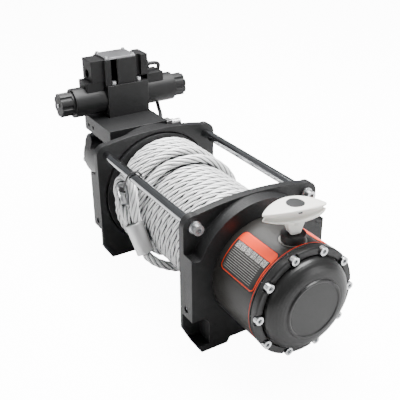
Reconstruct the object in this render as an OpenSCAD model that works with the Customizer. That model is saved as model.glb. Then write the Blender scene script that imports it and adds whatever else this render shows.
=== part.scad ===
// Hydraulic winch. X runs along the drum axis, the gearbox end is at +X, the valve at -X.
// The front, where the rope eye is kept, is -Y. The feet stand on z = 0.

/* [Frame] */
// Clear width between the two end frames
gap_w = 226; // [200:1:260]
// Width of an end frame
frame_w = 190; // [180:1:210]
// Height of the drum axis above the base
axis_h = 96; // [92:1:110]
// Height of the arch above the base
frame_h = 187; // [184:1:200]
// Thickness of the plate part of an end frame
plate_t = 10; // [9:0.5:12]
// Depth of the feet and of the round ring
foot_t = 28; // [27:0.5:34]
// Radius of the round ring on the outer face
ring_r = 89.5; // [84:0.5:92]
// Radius of the opening round the drum flange
opening_r = 86; // [80:0.5:87]
// Radius of the ears that hold the tie bars
ear_r = 15; // [13:0.5:18]
// Height of the tie bars
bar_z = 165; // [160:1:170]
// Height at which the thick side pillars end
shoulder_z = 130.5; // [124:0.5:136]

/* [Feet] */
// Bolt spacing across the winch
foot_pitch_y = 114.3; // [100:0.1:125]
// Drilled radius of the foot threads
foot_hole_r = 5.1; // [4:0.1:6.5]
// Depth of the foot threads
foot_hole_depth = 24; // [15:1:30]
// Width of the chamfer at the outer bottom corners
chamfer_w = 13; // [8:0.5:18]
// Height of the chamfer at the outer bottom corners
chamfer_h = 26; // [16:0.5:32]
// Half of the hollow between the two feet of a frame
pad_in = 45; // [38:0.5:48]
// Rise of that hollow
pad_rise = 7; // [3:0.5:12]

/* [Tie bars] */
// Diameter of a tie bar
bar_d = 13; // [11:0.5:16]
// Radius of the tie bar screws
bar_screw_r = 4; // [3:0.5:5]

/* [Drum] */
// Radius of the drum barrel
barrel_r = 35; // [30:0.5:45]
// Radius of the drum bore
drum_bore_r = 24; // [20:0.5:28]
// Radius of the drum flanges
flange_r = 84; // [78:0.5:85]
// Thickness of a drum flange
flange_t = 7; // [5:0.5:8]
// Clear length between the drum flanges
spool_w = 220; // [190:1:222]
// Radius of the drum journals
journal_r = 40; // [30:0.5:42]

/* [Rope] */
// Diameter of the wire rope
rope_d = 13; // [10:0.5:14]
// Outer radius of the wound rope
wound_r = 70.5; // [66:0.5:74]
// Spacing of the turns
turn_pitch = 13.4; // [12:0.1:15]
// Turns in the outer layer
turns = 15; // [8:1:15]

/* [Gearbox] */
// Radius of the gearbox housing
housing_r = 67; // [64:0.5:70]
// Radius of the space inside the housing
cavity_r = 59; // [56:0.5:61]
// Length of the housing outside the frame ring
housing_len = 74; // [72:1:90]
// Tooth module of the planetary gears
gear_m = 1.5; // [1.4:0.05:1.55]
// Width of the gears
gear_w = 22; // [14:0.5:24]

/* [End cap] */
// Radius of the cap flange
cap_r = 67.5; // [66:0.5:70]
// Radius of the bolt circle
cap_bolt_r = 63; // [61:0.5:64]
// Number of cap screws
cap_bolts = 10; // [6:1:12]
// Thickness of the cap flange
cap_flange_t = 10; // [8:0.5:14]
// Height of the domed face above the flange
cap_dome_h = 17; // [12:0.5:24]
// Radius of the raised round boss
cap_boss_r = 33; // [24:0.5:38]

/* [Clutch] */
// Distance of the clutch handle from the frame's outer face
clutch_x = 57; // [54:0.5:62]
// Radius of the plunger
plunger_r = 6; // [5:0.5:7]
// Travel of the plunger
plunger_lift = 7; // [5:0.5:8]
// Length of the handle
handle_len = 76; // [55:1:80]
// Width of the handle
handle_w = 33; // [20:0.5:40]
// Height of the grip
handle_h = 24; // [18:0.5:28]
// Direction in which the handle lies, from +X towards +Y
handle_turn = 84; // [0:1:90]

/* [Motor] */
// Radius of the motor
motor_r = 50; // [47:0.5:54]
// Length of the front part of the motor
motor_front_len = 91; // [80:1:100]
// Length of the rotor ring
rotor_len = 29; // [20:0.5:34]
// Length of the end cover
motor_end_len = 16; // [12:0.5:22]
// Radius of the drive shaft
shaft_r = 7; // [6:0.5:7]
// Offset of the outer rotor
rotor_offset = 2.5; // [2:0.25:2.75]

/* [Valve] */
// Length of the valve body across the winch
valve_w = 66; // [60:1:72]
// Depth of the valve body
valve_d = 46; // [42:0.5:50]
// Height of the valve body
valve_h = 48; // [44:0.5:52]
// Radius of a coil
coil_r = 21.5; // [19:0.5:22.5]
// Length of a coil
coil_len = 49; // [44:1:56]
// Radius of a coil nut
nut_r = 17.5; // [15:0.5:19]
// Length of a coil nut
nut_len = 20; // [16:0.5:26]
// Place of the valve across the winch
valve_y = -4; // [-10:0.5:4]
// Distance of the valve's front face from the frame
valve_gap = 52; // [46:0.5:56]
// Travel of the spool each way
spool_travel = 3; // [2:0.5:4]
// Travel of an override pin
pin_travel = 2.5; // [1:0.5:2.5]

/* [Bracket] */
// Height of the bracket's top face
bracket_z = 186; // [184:0.5:190]
// Sheet thickness of the bracket
sheet_t = 4; // [3:0.5:5]
// Width of the bracket
bracket_w = 92; // [88:1:100]
// Depth of the bracket's top
bracket_d = 92; // [86:1:100]
// Place of the bracket across the winch
bracket_y = -15; // [-18:0.5:-10]

/* [Junction box] */
// Height of the junction box
box_h = 38; // [32:0.5:44]
// Length of the junction box
box_w = 52; // [48:1:60]
// Depth of the junction box
box_d = 42; // [36:0.5:44]
// Diameter of the lead
lead_d = 6; // [5:0.5:7]

/* [Hidden] */
$fn = 96;

// Clearances: a running fit, a seat, and the gap between pieces of different bodies
fit = 0.05;
seat = 0.15;
body_gap = 0.5;
// Play in the seats of the gearbox and of the plunger
housing_play = 0.3;
plunger_play = 0.4;
// Recess of a socket head screw, as shares of its head
socket_depth_share = 0.55;
socket_wide_share = 0.55;
// Overrun of a cut past the face it opens
over = 1;

// Frame
half_w = frame_w / 2;
bar_y = half_w - ear_r;
inner_x = gap_w / 2;
plate_x = inner_x + plate_t;
outer_x = inner_x + foot_t;
foot_x = inner_x + foot_t / 2;
opening_depth = 9;
web_t = 10;
web_x = inner_x + opening_depth;
seat_x = web_x + web_t;
ear_sink = 1;
arch_rise = frame_h - bar_z - ear_r + ear_sink;
arch_r = (bar_y * bar_y + arch_rise * arch_rise) / (2 * arch_rise);
pad_slope = 4;
corner_r = 9.5;
corner_y = half_w - 8;
pocket_strip = 5;
pocket_top = 49;
pocket_floor = 10;
pocket_in = 71;
pocket_r = 12;
side_hole_z = 60;
side_hole_r = 4.2;
side_hole_depth = 12;
plug_len = 8;
plug_drop = 2;

// Drum
spool_x = spool_w / 2;
flange_x = spool_x + flange_t;
journal_x = seat_x + 1;
bush_t = 5;
bush_r = journal_r + bush_t;
collar_w = 18;
collar_r = journal_r + collar_w;
winding_r = wound_r - rope_d / 2;
second_gap = 0.1;
strand_d = rope_d - 2 * seat;
loop_rings = 24;
core_r = (winding_r - strand_d / 2) * cos(180 / loop_rings) - 2 * seat;
second_r = winding_r + rope_d / cos(180 / loop_rings) + second_gap;
second_steps = 83;
climb_steps = 8;
climb_wait_steps = 4;
tube_sides = 6;
winding_end = strand_d;
anchor_x = -spool_x + 14;
anchor_r = 4;
anchor_depth = 8;
anchor_head_r = 7;
anchor_head_h = 6;

// Tie bars
bar_thread = 22;
bar_thread_spare = 3;
bar_washer_t = 2;
bar_washer_r = 8;
bar_head_r = 6.5;
bar_head_h = 8;

// Gearbox
sun_teeth = 12;
planet_teeth = 27;
ring_teeth = sun_teeth + 2 * planet_teeth;
planets = 3;
planet_at = gear_m * (sun_teeth + planet_teeth) / 2;
pressure_angle = 20;
backlash = 0.16;
addendum_share = 0.8;
root_share = 1.15;
flank_steps = 5;
clutch_at = outer_x + clutch_x;
gear_x = clutch_at - gear_w / 2;
housing_x = outer_x + housing_len;
housing_wall_t = 8;
housing_wall_x = seat_x + housing_wall_t;
carrier_t = 8;
carrier_gap = 2;
carrier_x = gear_x - carrier_gap - carrier_t;
carrier_hub_len = 10;
carrier_hub_from = spool_x - carrier_hub_len;
carrier_rim = 14;
carrier_r = planet_at + carrier_rim;
planet_pin_r = 6;
sun_bore_r = 4.5;
shaft_bush_r = 13;
shaft_bush_len = 18;
shaft_bush_in = 2;
shaft_neck_x = gear_x - body_gap;
ring_gear_r = cavity_r - fit;
notch_depth = 5;
gasket_t = 1;

// End cap
cap_x = housing_x + gasket_t;
cap_face_x = cap_x + cap_flange_t;
cap_top_x = cap_face_x + cap_dome_h;
cap_recess = 3.5;
cap_recess_x = cap_face_x - cap_recess;
cap_edge = 1.5;
cap_curve_steps = 8;
cap_screw_r = 3;
cap_head_r = 5;
cap_head_h = 6;
cap_notch_r = 6.4;
cap_groove_r = 57;
cap_groove_w = 2;
cap_groove_depth = 4;
cap_step_w = 4;
cap_step_r = cap_boss_r + cap_step_w;
cap_step_h = 2;
cap_wall = 6;
cap_screw_len = 22;
cap_screw_spare = 4;

// Clutch
housing_top = axis_h + housing_r;
clutch_ring_r = 15.8;
clutch_ring_h = 5;
clutch_flat = 6;
clutch_ring_z = housing_top - clutch_flat;
clutch_boss_r = 14;
boss_roof = 2;
clutch_boss_h = plunger_lift + boss_roof;
clutch_boss_z = clutch_ring_z + clutch_ring_h;
clutch_boss_top = clutch_boss_z + clutch_boss_h;
plunger_neck_r = 4.5;
plunger_foot = axis_h + ring_gear_r - notch_depth + housing_play;
spring_play = 1.2;
spring_r = plunger_neck_r + spring_play;
spring_wire_r = 0.45;
spring_turns = 4;
curl_rings = 8;
clutch_bore_r = plunger_r + plunger_play;
stem_w = 13;
stem_z = clutch_boss_top + body_gap;
stem_h = 11;
grip_z = stem_z + stem_h;
neck_reach = 6;
neck_top = grip_z + neck_reach;
plunger_shoulder = 6;
plunger_top_z = housing_top - plunger_shoulder;
notch_turns = [0:60:300];
// Side view of the grip, as shares of its length and its height
grip_shares = [[0.16, 0], [0.5, 0.62], [0.5, 0.74], [0.3, 0.94], [0.12, 1]];

// Motor
adapter_t = 4;
adapter_lip_r = 54;
adapter_bore_r = 10;
motor_x = -outer_x - adapter_t;
motor_mid_x = motor_x - motor_front_len;
rotor_end_x = motor_mid_x - rotor_len;
motor_end_x = rotor_end_x - motor_end_len;
motor_bolt_r = 43.5;
motor_bolts_n = 7;
motor_bolt_d = 8;
motor_head_r = 6.5;
motor_head_h = 7;
motor_bolt_reach = 20;
motor_bolt_spare = 1;
motor_bore_r = 9;
rotor_pins = 7;
rotor_pin_at = 24;
rotor_pin_r = 6;
rotor_outer_r = 35;
rotor_inner_r = 26;
rotor_play = 0.12;
rotor_side = 0.3;
rotor_points = 240;
rotor_bunch_share = 0.85;
shaft_end_gap = 1;
port_at = 80;
port_x = -outer_x - port_at;
port_turn = 15;
port_rise = 30;
port_reach = 40;
port_boss_r = 13;
port_boss_len = 26;
port_r = 7;
port_depth = 14;
port_hex_r = 13;
port_hex_h = 7;
port_len = 14;
port_cap_r = 11.5;
port_cap_len = 19;
port_spare = 1;

// Valve
bracket_side = 24;
bracket_drop = 34;
bracket_left = bracket_y - bracket_w / 2;
bracket_back = -outer_x - bracket_d;
bracket_hole_r = 3;
bracket_screw_ys = [-26, 14];
bracket_screw_depth = 9;
bracket_head_r = 5;
bracket_head_h = 5;
bracket_screw_drop = 20;
wing_hole_at = 14;
wing_hole_pitch = 16;
valve_x = -outer_x - valve_gap - valve_d / 2;
valve_lift = 1;
valve_z = bracket_z + valve_h / 2 + valve_lift;
valve_top = bracket_z + valve_h;
valve_end = valve_w / 2;
coil_end = valve_end + coil_len;
nut_end = coil_end + nut_len;
tube_r = 9;
spool_r = 6;
spool_len = 86;
spool_groove = 2;
spool_groove_w = 8;
rod_r = 3.2;
rod_gap = 2.5;
tube_end = 4;
pin_r = 2.6;
pin_out = 1.5;
pin_in = 3;
rod_len = 2 * (coil_end - pin_in - pin_travel - spool_travel - rod_gap);
nut_flutes = 8;
flute_r = 4;
flute_at = 2;
flute_from = 3;
valve_screw_pitch_y = 40.5;
valve_screw_pitch_x = 31;
valve_screw_r = 2.5;
valve_screw_head_r = 4.4;
valve_screw_head_h = 5;
valve_screw_depth = 12;
valve_screw_spare = 2;
manifold_h = 32;
manifold_w = 64;
manifold_d = 60;
manifold_top = bracket_z - sheet_t;
manifold_z = manifold_top - manifold_h;
manifold_foot_w = 20;
manifold_foot_h = 10;
manifold_port_r = 8.3;
manifold_port_pitch = 32;
manifold_port_depth = 11;
connector_w = 27;
connector_d = 30;
connector_gap = 2.5;
connector_cut_share = 0.75;

// Junction box
box_z = valve_top;
box_top = box_z + box_h;
box_y = valve_y - 9;
end_block_w = 19.5;
end_block_d = 32;
end_block_h = 31;
connector_top = box_top - end_block_h - seat;
lid_t = 3;
lid_in = 2;
box_wall = 3;
box_room = 22;
box_groove_r = 5.2;
box_screw_r = 2.6;
box_screw_h = 2;
box_screw_in = 5;
box_shank_r = 1.2;
box_shank_len = 8;
conduit_r = 6.5;
conduit_depth = 12;
gland_r = 6.5;
gland_len = 8;
gland_spare = 1;
gland_hole = 3;
gland_end = box_y + box_w / 2 + end_block_w + gland_len;
gland_drop = 5;
lead_z = box_top - end_block_h / 2 - gland_drop;
socket_at = 12;
socket_x = -outer_x - socket_at;
socket_w = 15;
socket_len = 19;
socket_from = 24;
socket_to = socket_from + socket_len;
socket_h = 14;
socket_z = bracket_z - sheet_t - socket_h / 2;
socket_collar_r = 6.5;
socket_collar_w = 5;
socket_dome_r = 5.5;
socket_dome_w = 11;
socket_hole = 2;
lead_end_y = 37;
lead_end_z = 176;

// Route of the lead, from the gland to the socket behind the frame
lead_route = [[-216, 38, 251.5], [-216, 45, 251.5], [-216.3, 52, 251], [-219, 59, 248.5], [-225, 64, 243],
    [-233, 66.5, 235], [-240, 68, 225], [-243.5, 68.5, 214], [-244, 68.5, 203], [-242, 67.5, 193],
    [-236, 65, 185], [-226, 61, 180], [-213, 56, 177.5], [-199, 50.5, 176.5], [-185, 44, 176],
    [-175, 39, 176], [-167, 37, 176], [-159, 37, 176]];
lead_steps = 2;
lead_sides = 8;

// Rope end: turns are degrees round the drum from +Y towards +Z
ferrule_r = 12;
ferrule_len = 42.3;
ferrule_gap = 0.5;
ferrule_x = -17.5;
ferrule_turn = 190.5;
ferrule_slant = 26;
ferrule_at_r = wound_r + ferrule_gap + ferrule_r;
ferrule_mid = [ferrule_x, ferrule_at_r * cos(ferrule_turn), axis_h + ferrule_at_r * sin(ferrule_turn)];
ferrule_dir = [-sin(ferrule_slant), cos(ferrule_slant) * sin(ferrule_turn),
    -cos(ferrule_slant) * cos(ferrule_turn)];
tail_route = [[-7.8, -77.4, 61.5], [-5.8, -76.6, 57.5], [-4, -71, 50.8], [-3, -63.4, 43.7],
    [-2.6, -52.6, 36.5], [-3, -38.9, 28.7], [-4.6, -20.1, 21.1], [-7.2, 2.7, 18.5], [-10, 26.5, 23.2]];
eye_route = [[-32.1, -87.5, 97.5], [-34.5, -88.5, 101.3], [-39.4, -88.8, 105.2], [-47.4, -88.6, 110.5],
    [-56.3, -87.8, 117.3], [-65.3, -86.2, 123.6], [-72.6, -84.3, 129], [-76.5, -82, 134.4],
    [-77.1, -79, 140.1], [-74.3, -76.1, 144.9], [-68.7, -74, 148.1], [-61.2, -73.3, 148.9],
    [-52.2, -74.2, 147], [-43.7, -76.1, 143], [-36.8, -78.3, 137], [-31.8, -80.4, 129.4],
    [-28.6, -81.8, 121.1], [-26.2, -82.1, 114.2], [-23.9, -82.2, 107.8], [-22.2, -81.7, 103.5]];
eye_normal = [0.12, -0.94, 0.33];
rope_steps = 2;
eye_rope_r = rope_d / 2 - seat;
thimble_t = 2.4;
thimble_w = 9.6;
thimble_out = 1.7;
thimble_skip = 7;
tie_r = 1.3;
tie_normal = [-0.78, 0.26, 0.57];
tie_route = [[-49.6, -87.4, 139.2], [-46.8, -87.6, 143.5], [-40.5, -88.6, 153], [-34.6, -88.9, 161],
    [-30.4, -88, 168.2], [-28, -84.8, 172.6], [-26.4, -80, 173.9], [-25, -75, 172.6],
    [-24.3, -71.9, 168], [-25.2, -71.3, 161.5], [-31, -70.1, 154.5], [-39.3, -67.4, 148],
    [-43.8, -67.1, 143.1], [-47.5, -68.9, 138.4], [-50.9, -74, 135.2], [-52.4, -80.5, 134.6],
    [-53.2, -86.5, 135.8], [-53, -90.6, 139.6], [-50.6, -92.2, 144]];

// A round bar along X between two places on the drum axis
module bar_x(r, from, to) {
    translate([from, 0, axis_h]) rotate([0, 90, 0]) cylinder(r = r, h = to - from);
}

// A shape drawn across the winch, thickened along X
module across(from, to) {
    translate([from, 0, 0]) rotate([90, 0, 90]) linear_extrude(to - from) children();
}

// Socket head screw along +X with its head's seat at the origin
module socket_screw(shank_r, len, head_r, head_h) {
    difference() {
        union() {
            translate([-len, 0, 0]) rotate([0, 90, 0]) cylinder(r = shank_r, h = len);
            rotate([0, 90, 0]) cylinder(r = head_r, h = head_h);
        }
        translate([head_h * (1 - socket_depth_share), 0, 0]) rotate([0, 90, 0])
            cylinder(r = head_r * socket_wide_share, h = head_h, $fn = 6);
    }
}

function unit(v) = v / norm(v);

// Tube swept along points, as one closed skin
module swept_tube(path, r, sides, ref, wide = 1) {
    last = len(path) - 1;
    dirs = [for (i = [0:last]) unit(path[min(i + 1, last)] - path[max(i - 1, 0)])];
    rings = [for (i = [0:last]) let (a = unit(cross(ref, dirs[i])), b = cross(dirs[i], a))
        for (j = [0:sides - 1]) path[i] + r * (cos(360 * j / sides) * a + wide * sin(360 * j / sides) * b)];
    walls = [for (i = [0:last - 1]) for (j = [0:sides - 1])
        let (k = (j + 1) % sides, a = i * sides + j, b = i * sides + k)
        each [[a, a + sides, b + sides], [a, b + sides, b]]];
    ends = [for (j = [1:sides - 2]) each [[0, j, j + 1],
        [last * sides, last * sides + j + 1, last * sides + j]]];
    polyhedron(points = rings, faces = concat(walls, ends));
}

// Tooth shape: the involute flank of a gear with the given teeth
function involute(a) = tan(a) * 180 / PI - a;
function flank(teeth, r, thick) = let (pitch_r = gear_m * teeth / 2, base_r = pitch_r * cos(pressure_angle))
    (90 * thick / (gear_m * 90 * PI / 180) / teeth)
    + involute(pressure_angle) - involute(acos(min(1, base_r / r)));
function tooth(teeth, tip_r, root_r, thick) = let (base_r = gear_m * teeth / 2 * cos(pressure_angle),
    low_r = max(base_r, root_r))
    concat([[root_r, -flank(teeth, low_r, thick)]],
        [for (i = [0:flank_steps]) let (r = low_r + (tip_r - low_r) * i / flank_steps)
            [r, -flank(teeth, r, thick)]],
        [for (i = [flank_steps:-1:0]) let (r = low_r + (tip_r - low_r) * i / flank_steps)
            [r, flank(teeth, r, thick)]],
        [[root_r, flank(teeth, low_r, thick)]]);
module gear_shape(teeth, tip_r, root_r, thick) {
    outline = tooth(teeth, tip_r, root_r, thick);
    polygon([for (k = [0:teeth - 1]) for (p = outline)
        let (a = 360 * k / teeth + p[1]) p[0] * [cos(a), sin(a)]]);
}
tooth_thick = gear_m * PI / 2 - backlash;
space_thick = gear_m * PI / 2 + backlash;

// End frame: the plate, its feet and its ring, one casting
module frame_outline() {
    side = [[half_w - chamfer_w, 0], [half_w, chamfer_h], [half_w, bar_z]];
    feet = [[-pad_in, 0], [-pad_in + pad_slope, pad_rise], [pad_in - pad_slope, pad_rise], [pad_in, 0]];
    polygon(concat(feet, side, [for (i = [2:-1:0]) [-side[i][0], side[i][1]]]));
    for (s = [-1, 1]) translate([s * bar_y, bar_z]) circle(r = ear_r);
    intersection() {
        translate([0, frame_h - arch_r]) circle(r = arch_r, $fn = 360);
        translate([-bar_y, bar_z - over]) square([2 * bar_y, ear_r * 2 + arch_rise]);
    }
}

module thick_outline() {
    intersection() {
        frame_outline();
        union() {
            translate([0, axis_h]) circle(r = ring_r);
            difference() {
                translate([-half_w, 0]) square([frame_w, shoulder_z + corner_r]);
                for (s = [-1, 1]) translate([s * corner_y, shoulder_z + corner_r]) circle(r = corner_r);
            }
        }
    }
}

module pocket_outline() {
    depth = half_w - pocket_in;
    translate([pocket_in, pocket_floor]) {
        square([depth + over, pocket_top - pocket_floor - pocket_r]);
        translate([pocket_r, 0]) square([depth - pocket_r + over, pocket_top - pocket_floor]);
        translate([pocket_r, pocket_top - pocket_floor - pocket_r]) circle(r = pocket_r);
    }
}

module end_frame() {
    difference() {
        union() {
            across(inner_x, plate_x) frame_outline();
            across(plate_x - over, outer_x) thick_outline();
        }
        bar_x(opening_r, inner_x - over, web_x);
        bar_x(bush_r + fit, web_x - over, seat_x + over);
        bar_x(housing_r + housing_play, seat_x, outer_x + over);
        for (s = [-1, 1]) {
            translate([inner_x - over, s * bar_y, bar_z]) rotate([0, 90, 0])
                cylinder(r = bar_screw_r + seat, h = plate_t + 2 * over);
            translate([foot_x, s * foot_pitch_y / 2, -over])
                cylinder(r = foot_hole_r, h = foot_hole_depth + over);
            translate([foot_x, s * (half_w + over), side_hole_z]) rotate([s * 90, 0, 0])
                cylinder(r = side_hole_r, h = side_hole_depth + over);
            across(inner_x + pocket_strip, outer_x + over) mirror([s < 0 ? 1 : 0, 0]) pocket_outline();
        }
    }
}

module gearbox_end_frame() {
    color("#3a3b3d") end_frame();
}

module motor_end_frame() {
    color("#3a3b3d") difference() {
        mirror([1, 0, 0]) end_frame();
        at_bracket_screws() translate([-over, 0, 0]) rotate([0, 90, 0])
            cylinder(r = bracket_hole_r, h = bracket_screw_depth + 2 * over);
    }
}

// Tie bars: ground round bars, tapped at both ends
module tie_bar(side) {
    color("#c9ccd0") difference() {
        translate([-inner_x, side * bar_y, bar_z]) rotate([0, 90, 0]) cylinder(d = bar_d, h = gap_w);
        for (s = [-1, 1]) translate([s * inner_x, side * bar_y, bar_z]) rotate([0, 90, 0])
            cylinder(r = bar_screw_r, h = 2 * bar_thread, center = true);
    }
}
module front_tie_bar() { tie_bar(-1); }
module rear_tie_bar() { tie_bar(1); }

module at_bar_ends() {
    for (m = [0, 1], s = [-1, 1]) mirror([m, 0, 0]) translate([plate_x, s * bar_y, bar_z]) children();
}
module tie_bar_screws() {
    color("#b9bcc0") at_bar_ends() translate([bar_washer_t, 0, 0])
        socket_screw(bar_screw_r - seat, plate_t + bar_washer_t + bar_thread - bar_thread_spare, bar_head_r,
            bar_head_h);
}
module tie_bar_washers() {
    color("#b9bcc0") at_bar_ends() rotate([0, 90, 0]) difference() {
        cylinder(r = bar_washer_r, h = bar_washer_t);
        translate([0, 0, -over]) cylinder(r = bar_screw_r, h = bar_washer_t + 2 * over);
    }
}

// Hexagon socket plugs in the four side threads
module side_hole_plugs() {
    color("#a9acb0") for (m = [0, 1], s = [-1, 1]) mirror([m, 0, 0])
        translate([foot_x, s * (half_w - plug_drop), side_hole_z]) rotate([s * 90, 0, 0]) difference() {
            cylinder(r = side_hole_r - fit, h = plug_len);
            translate([0, 0, -over])
                cylinder(r = side_hole_r * socket_wide_share, h = plug_len / 2 + over, $fn = 6);
        }
}

// Drum: barrel, flanges and journals welded into one
module drum() {
    color("#55585c") difference() {
        union() {
            bar_x(barrel_r, -spool_x - over, spool_x + over);
            for (m = [0, 1]) mirror([m, 0, 0]) {
                bar_x(flange_r, spool_x, flange_x);
                bar_x(journal_r, flange_x - over, journal_x);
            }
        }
        bar_x(drum_bore_r, -journal_x - over, journal_x + over);
        translate([anchor_x, 0, axis_h + barrel_r - anchor_depth])
            cylinder(r = anchor_r, h = anchor_depth + over);
    }
}

// Bronze bushes with a collar between the drum flange and the frame's web
module drum_bushes() {
    color("#b08d57") for (m = [0, 1]) mirror([m, 0, 0]) difference() {
        union() {
            bar_x(bush_r, web_x - over, seat_x);
            bar_x(collar_r, flange_x + body_gap, web_x);
        }
        bar_x(journal_r + fit, flange_x - over, seat_x + over);
    }
}

// Inner layers of rope as one plain core
module rope_core() {
    color("#8f9296") difference() {
        bar_x(core_r, -spool_x + seat, spool_x - seat);
        bar_x(barrel_r + fit, -spool_x - over, spool_x + over);
        translate([anchor_x, 0, axis_h + barrel_r - over])
            cylinder(r = anchor_head_r + seat, h = anchor_head_h + 2 * over);
    }
}
module rope_anchor_screw() {
    color("#a9acb0") translate([anchor_x, 0, axis_h + barrel_r]) difference() {
        union() {
            translate([0, 0, over - anchor_depth]) cylinder(r = anchor_r - fit, h = anchor_depth);
            cylinder(r = anchor_head_r, h = anchor_head_h);
        }
        translate([0, 0, anchor_head_h / 2]) cylinder(r = anchor_head_r / 2, h = anchor_head_h, $fn = 6);
    }
}

// Outer layers of rope: a helix from end to end, which climbs at the motor end and comes part way back
function winding_point(a) = [-turns * turn_pitch / 2 + turn_pitch * a / 360,
    winding_r * cos(a + 180), axis_h + winding_r * sin(a + 180)];
function winding_dir(a) = unit([turn_pitch / 360, winding_r * PI / 180 * -sin(a + 180),
    winding_r * PI / 180 * cos(a + 180)]);
function second_point(i) = let (t = 360 * i / loop_rings,
    r = winding_r + (second_r - winding_r) * sin(90 * min(1, i / climb_steps)))
    [turn_pitch * (max(0, i - climb_wait_steps) / loop_rings - turns / 2), r * cos(180 - t),
    axis_h + r * sin(180 - t)];
winding_steps = turns * loop_rings;
winding_path = concat([winding_point(360 * turns) + winding_end * winding_dir(360 * turns)],
    [for (i = [winding_steps:-1:0]) winding_point(360 * i / loop_rings)],
    [for (i = [1:second_steps]) second_point(i)]);
module rope_winding() {
    color("#c3c6ca") swept_tube(winding_path, strand_d / 2, tube_sides, [1, 0, 0]);
}
winding_gap = min([for (i = [1:len(winding_path) - 1 - loop_rings])
    norm(winding_path[i + loop_rings] - winding_path[i])]) - strand_d;
echo("least gap of the winding to itself", winding_gap);

// Points of a smooth curve through a route
function smooth(p, n) = [for (i = [0:len(p) - 2]) for (k = [0:n - 1]) let (t = k / n, a = p[max(i - 1, 0)],
    b = p[i], c = p[i + 1], d = p[min(i + 2, len(p) - 1)])
    b + (c - a) * t / 2 + (2 * a - 5 * b + 4 * c - d) * t * t / 2 + (3 * b - a - 3 * c + d) * t * t * t / 2,
    p[len(p) - 1]];

// Free end of the rope, laid round the front of the winding
module rope_tail() {
    color("#c3c6ca") swept_tube(smooth(tail_route, rope_steps), eye_rope_r, lead_sides, [1, 0, 0]);
}

// Pressed sleeve that closes the eye
module ferrule() {
    color("#b4b7bb") translate(ferrule_mid)
        rotate([0, acos(ferrule_dir[2]), atan2(ferrule_dir[1], ferrule_dir[0])])
            cylinder(r = ferrule_r, h = ferrule_len, center = true);
}

// Eye of the rope, tied up above the ferrule
eye_path = smooth(eye_route, rope_steps);
module rope_eye() {
    color("#c3c6ca") swept_tube(eye_path, eye_rope_r, lead_sides, eye_normal);
}

// Thimble: a bent strip along the inside of the eye
thimble_path = [for (i = [thimble_skip:len(eye_path) - 1 - thimble_skip]) eye_path[i]
    + (eye_rope_r + thimble_t / 2 + seat) * unit(cross(eye_path[i + 1] - eye_path[i - 1], eye_normal))
    + thimble_out * unit(eye_normal)];
module thimble() {
    color("#d0d2d5") swept_tube(thimble_path, thimble_t / 2, lead_sides, eye_normal, thimble_w / thimble_t);
}

// Cable tie that holds the eye to the front tie bar
module cable_tie() {
    color("#1c1c1d") swept_tube(smooth(tie_route, rope_steps), tie_r, lead_sides, tie_normal);
}

// Gearbox housing: a round case closed by a wall at the drum side
module gearbox_housing() {
    color("#3f3f3c") difference() {
        bar_x(housing_r, seat_x, housing_x);
        bar_x(cavity_r, housing_wall_x, housing_x + over);
        bar_x(drum_bore_r + over, seat_x - over, housing_wall_x + over);
        bar_x(bush_r, seat_x - over, journal_x + body_gap);
        translate([clutch_at, 0, clutch_ring_z]) cylinder(r = clutch_ring_r + seat, h = clutch_flat + over);
        translate([clutch_at, 0, axis_h + cavity_r - over])
            cylinder(r = plunger_r + fit, h = housing_r - cavity_r + 2 * over);
        for (i = [0:cap_bolts - 1]) at_cap_bolt(i) translate([housing_x + over, 0, 0]) rotate([0, -90, 0])
            cylinder(r = cap_screw_r + fit, h = cap_screw_len - cap_flange_t + 2 * over);
    }
}

module at_cap_bolt(i) {
    translate([0, 0, axis_h]) rotate([360 * i / cap_bolts, 0, 0]) translate([0, cap_bolt_r, 0]) children();
}

module cap_gasket() {
    color("#222222") difference() {
        bar_x(housing_r - over, housing_x, cap_x);
        bar_x(cavity_r, housing_x - over, cap_x + over);
        for (i = [0:cap_bolts - 1]) at_cap_bolt(i) translate([housing_x - over, 0, 0]) rotate([0, 90, 0])
            cylinder(r = cap_screw_r + fit, h = gasket_t + 2 * over);
    }
}

// Cap: flange with open notches, a groove, a dome and a flat round boss
module end_cap() {
    dome = [[0, cap_x], [cap_r - cap_edge, cap_x], [cap_r, cap_x + cap_edge], [cap_r, cap_face_x - cap_edge],
        [cap_r - cap_edge, cap_face_x], [cap_groove_r + cap_groove_w, cap_face_x],
        [cap_groove_r + cap_groove_w, cap_face_x - cap_groove_depth],
        [cap_groove_r, cap_face_x - cap_groove_depth]];
    curve = [for (i = [0:cap_curve_steps]) let (a = 90 * i / cap_curve_steps)
        [cap_step_r + (cap_groove_r - cap_step_r) * cos(a),
            cap_face_x + (cap_dome_h - cap_step_h) * sin(a)]];
    boss = [[cap_step_r, cap_top_x - cap_step_h], [cap_step_r - over, cap_top_x],
        [cap_boss_r + over, cap_top_x], [cap_boss_r, cap_top_x - over], [0, cap_top_x - over]];
    color("#434340") difference() {
        translate([0, 0, axis_h]) rotate([0, 90, 0]) rotate_extrude() polygon(concat(dome, curve, boss));
        bar_x(cavity_r - cap_wall, cap_x - over, cap_x + cap_flange_t / 2);
        for (i = [0:cap_bolts - 1]) at_cap_bolt(i) {
            translate([cap_x - over, 0, 0]) rotate([0, 90, 0])
                cylinder(r = cap_screw_r + fit, h = cap_flange_t + 2 * over);
            translate([cap_recess_x, 0, 0]) rotate([0, 90, 0]) cylinder(r = cap_notch_r, h = cap_flange_t);
            translate([cap_recess_x, 0, -cap_notch_r])
                cube([cap_flange_t, cap_notch_r * 2, cap_notch_r * 2]);
        }
    }
}

module cap_screws() {
    color("#c4c6c8") for (i = [0:cap_bolts - 1]) at_cap_bolt(i) translate([cap_recess_x, 0, 0])
        socket_screw(cap_screw_r - fit, cap_screw_len - cap_screw_spare, cap_head_r, cap_head_h);
}

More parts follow.
